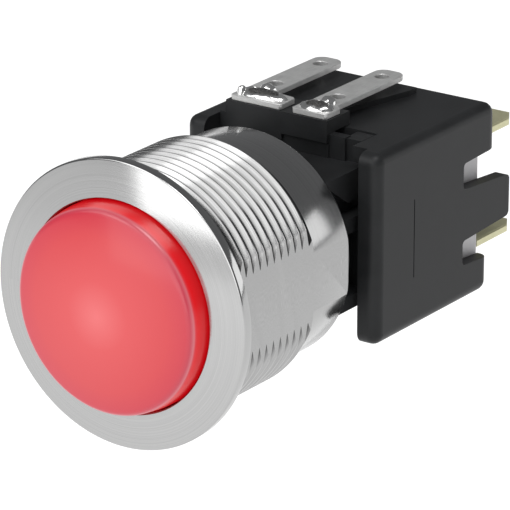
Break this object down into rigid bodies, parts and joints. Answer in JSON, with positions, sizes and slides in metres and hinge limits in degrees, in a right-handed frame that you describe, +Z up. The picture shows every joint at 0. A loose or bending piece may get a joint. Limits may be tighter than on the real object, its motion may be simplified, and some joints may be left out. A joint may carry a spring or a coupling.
{
  "type": "illuminated panel push button",
  "caption": "Round illuminated push button in a threaded steel housing, with a moulded carrier, snap-action switches, solder lugs and quick-connect tabs behind it.",
  "frame": {"origin": "centre of the panel plane, which is the rear face of the bezel's flange, on the button's axis", "axes": "+Y along the button's axis from the operator's side back into the panel, +Z up towards the lamp's solder lugs, +X to the right as the operator sees it"},
  "size_m": [0.025, 0.0505, 0.025],
  "materials": {
    "turned_steel": "turned and brushed, fine circular marks",
    "black_rubber": "matt",
    "black_plastic": "fine moulded grain",
    "circuit_board": "white solder mask",
    "lamp_body": "clear red, lit",
    "dark_ceramic": "matt",
    "tinned_metal": "tin plated, slightly dull",
    "solder": "bright, lumpy",
    "spring_steel": "bright drawn wire",
    "red_lens": "translucent, lit from behind",
    "frosted_disc": "frosted",
    "white_plastic": "smooth moulded",
    "grey_plastic": "smooth moulded",
    "brass_tab": "stamped, satin",
    "spring_brass": "rolled spring strip",
    "red_plastic": "smooth moulded"
  },
  "bodies": {
    "housing": {"bezel_housing": "turned_steel", "panel_seal": "black_rubber", "guide_sleeve": "black_plastic", "led_board": "circuit_board", "leds": "lamp_body", "led_resistor": "dark_ceramic", "led_leads": "tinned_metal", "lug_left": "tinned_metal", "lug_right": "tinned_metal", "solder_joints": "solder", "carrier_frame": "black_plastic", "terminal_cover": "black_plastic", "return_spring": "spring_steel", "switch_case_right": "grey_plastic", "switch_case_left": "grey_plastic", "switch_lid_right": "grey_plastic", "switch_lid_left": "grey_plastic", "terminal_common_right": "brass_tab", "terminal_common_left": "brass_tab", "terminal_open_right": "brass_tab", "terminal_open_left": "brass_tab"},
    "button": {"lens_cap": "red_lens", "diffuser": "frosted_disc", "button_slider": "white_plastic", "button_seal": "black_rubber"},
    "plunger_right": {"switch_plunger_right": "red_plastic"},
    "blade_right": {"contact_blade_right": "spring_brass"},
    "plunger_left": {"switch_plunger_left": "red_plastic"},
    "blade_left": {"contact_blade_left": "spring_brass"}
  },
  "joints": [
    {"name": "button_press", "type": "slide", "parent": "housing", "child": "button", "axis": [0, 1, 0], "range_m": [0, 0.0016], "stiffness_N_per_m": 1500, "springref_m": -0.002, "deforming": ["return_spring"]},
    {"name": "plunger_right_slide", "type": "slide", "parent": "housing", "child": "plunger_right", "axis": [0, 1, 0], "range_m": [0, 0.0016]},
    {"name": "blade_right_rock", "type": "hinge", "parent": "housing", "child": "blade_right", "pos_m": [0.00445, 0.03115, 0.0056], "axis": [1, 0, 0], "range_deg": [0, 16.4]},
    {"name": "plunger_left_slide", "type": "slide", "parent": "housing", "child": "plunger_left", "axis": [0, 1, 0], "range_m": [0, 0.0016]},
    {"name": "blade_left_rock", "type": "hinge", "parent": "housing", "child": "blade_left", "pos_m": [-0.00445, 0.03115, 0.0056], "axis": [1, 0, 0], "range_deg": [0, 16.4]}
  ],
  "couplings": [
    {"joint": "plunger_right_slide", "follows": "button_press", "ratio": 1},
    {"joint": "blade_right_rock", "follows": "button_press", "rad_per_m": 178},
    {"joint": "plunger_left_slide", "follows": "button_press", "ratio": 1},
    {"joint": "blade_left_rock", "follows": "button_press", "rad_per_m": 178}
  ]
}
